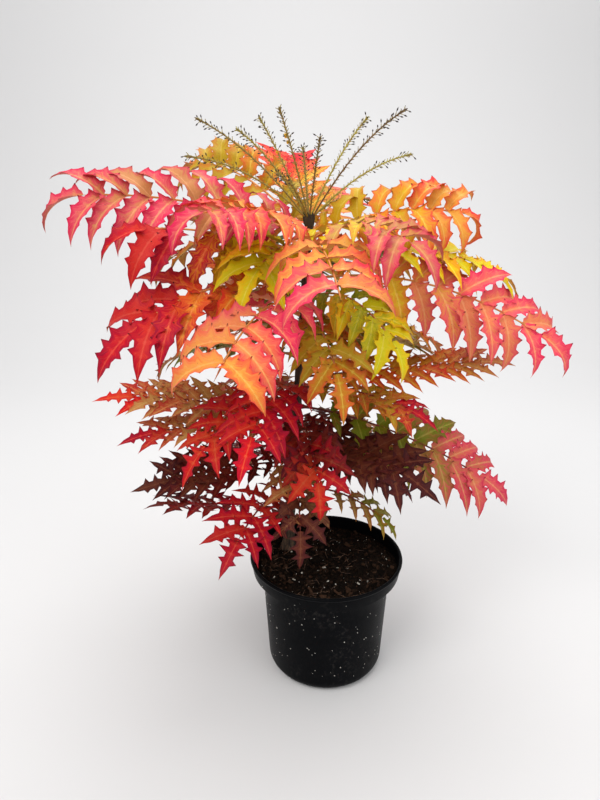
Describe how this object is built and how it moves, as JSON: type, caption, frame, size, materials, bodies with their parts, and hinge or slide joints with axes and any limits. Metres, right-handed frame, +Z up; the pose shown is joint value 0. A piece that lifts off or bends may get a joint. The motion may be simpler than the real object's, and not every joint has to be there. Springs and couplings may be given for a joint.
{
  "type": "potted mahonia",
  "caption": "Upright mahonia shrub in autumn colours: one stem with whorls of spiny feather-shaped fronds, a sheaf of spent flower spikes on top, in a round black nursery pot.",
  "frame": {"origin": "centre of the pot's flat underside", "axes": "+Z up along the pot's axis, -Y towards the side that the picture shows, +X to the right of it"},
  "size_m": [0.5673, 0.4331, 0.6623],
  "materials": {
    "pot": "satin black",
    "compost": "rough, moist",
    "bark": "matt, ridged",
    "flower_spikes": "dry, matt",
    "leaves_pink": "leathery, half-glossy",
    "leaves_coral": "leathery, half-glossy",
    "leaves_amber": "leathery, half-glossy",
    "leaves_olive": "leathery, half-glossy",
    "leaves_orange": "leathery, half-glossy",
    "leaves_scarlet": "leathery, half-glossy",
    "leaves_crimson": "leathery, half-glossy",
    "leaves_wine": "leathery, half-glossy",
    "leaves_brown": "leathery, half-glossy"
  },
  "bodies": {
    "root": {"pot": "pot", "compost": "compost", "stem": "bark", "flower_head": "flower_spikes", "frond_top_1": "leaves_pink", "frond_top_2": "leaves_pink", "frond_top_3": "leaves_coral", "frond_top_4": "leaves_pink", "frond_top_5": "leaves_coral", "frond_top_6": "leaves_coral", "frond_top_7": "leaves_scarlet", "frond_top_8": "leaves_amber", "frond_upper_9": "leaves_crimson", "frond_upper_10": "leaves_amber", "frond_upper_11": "leaves_amber", "frond_upper_12": "leaves_amber", "frond_upper_13": "leaves_amber", "frond_upper_14": "leaves_coral", "frond_upper_15": "leaves_coral", "frond_upper_16": "leaves_crimson", "frond_upper_17": "leaves_amber", "frond_upper_18": "leaves_coral", "frond_upper_19": "leaves_amber", "frond_middle_20": "leaves_wine", "frond_middle_21": "leaves_amber", "frond_middle_22": "leaves_amber", "frond_middle_23": "leaves_orange", "frond_middle_24": "leaves_brown", "frond_middle_25": "leaves_scarlet", "frond_middle_26": "leaves_brown", "frond_middle_27": "leaves_brown", "frond_middle_28": "leaves_crimson", "frond_middle_29": "leaves_orange", "frond_middle_30": "leaves_orange", "frond_middle_31": "leaves_orange", "frond_middle_32": "leaves_crimson", "frond_middle_33": "leaves_scarlet", "frond_low_34": "leaves_coral", "frond_low_35": "leaves_scarlet", "frond_low_36": "leaves_crimson", "frond_low_37": "leaves_scarlet", "frond_low_38": "leaves_crimson", "frond_low_39": "leaves_wine", "frond_low_40": "leaves_scarlet", "frond_low_41": "leaves_brown", "frond_low_42": "leaves_wine", "frond_low_43": "leaves_wine", "frond_low_44": "leaves_wine", "frond_low_45": "leaves_wine", "frond_low_46": "leaves_wine", "frond_low_47": "leaves_wine", "frond_low_48": "leaves_wine", "frond_low_49": "leaves_crimson", "frond_low_50": "leaves_olive"}
  },
  "joints": []
}
